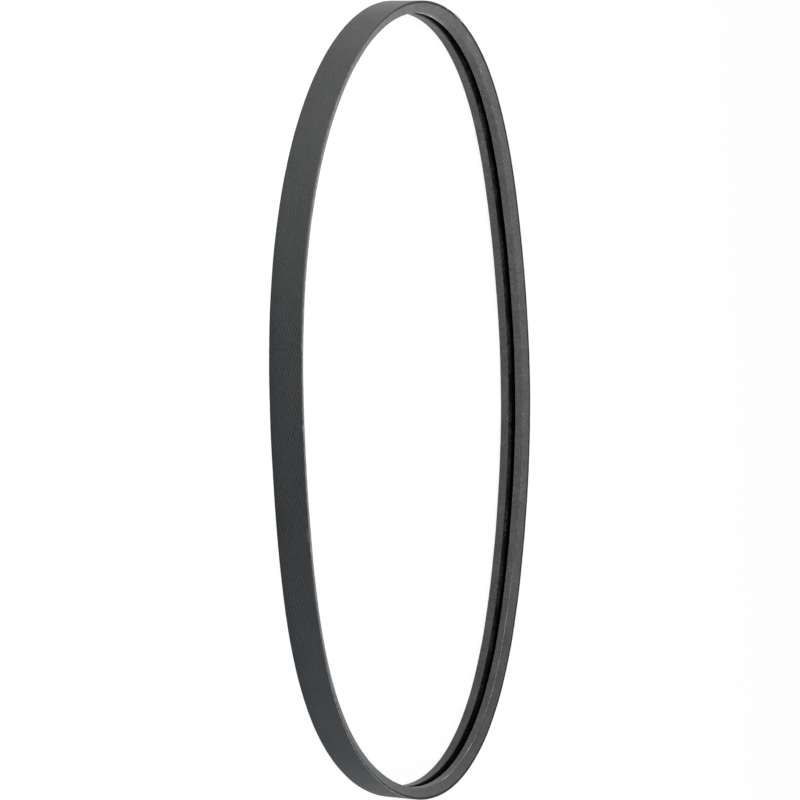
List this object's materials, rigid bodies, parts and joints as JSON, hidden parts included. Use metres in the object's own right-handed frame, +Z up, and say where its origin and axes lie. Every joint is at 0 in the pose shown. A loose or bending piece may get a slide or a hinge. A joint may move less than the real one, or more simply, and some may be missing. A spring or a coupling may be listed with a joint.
{
  "type": "banded v-belt",
  "caption": "Endless banded V-belt: parallel V ribs moulded under one fabric-faced tie band, lying on its cut edge as a slack egg-shaped loop; it carries drive between grooved pulleys.",
  "frame": {"origin": "middle of the loop's footprint, on the surface that the belt lies on", "axes": "+Y along the loop's longer side, +Z up out of the loop's plane, across the width of the belt"},
  "size_m": [0.5396, 0.758, 0.0315],
  "materials": {
    "wrapped_rubber": "dark grey fabric-wrapped rubber, matt with a faint sheen"
  },
  "bodies": {
    "root": {"banded_v_belt": "wrapped_rubber"}
  },
  "joints": []
}
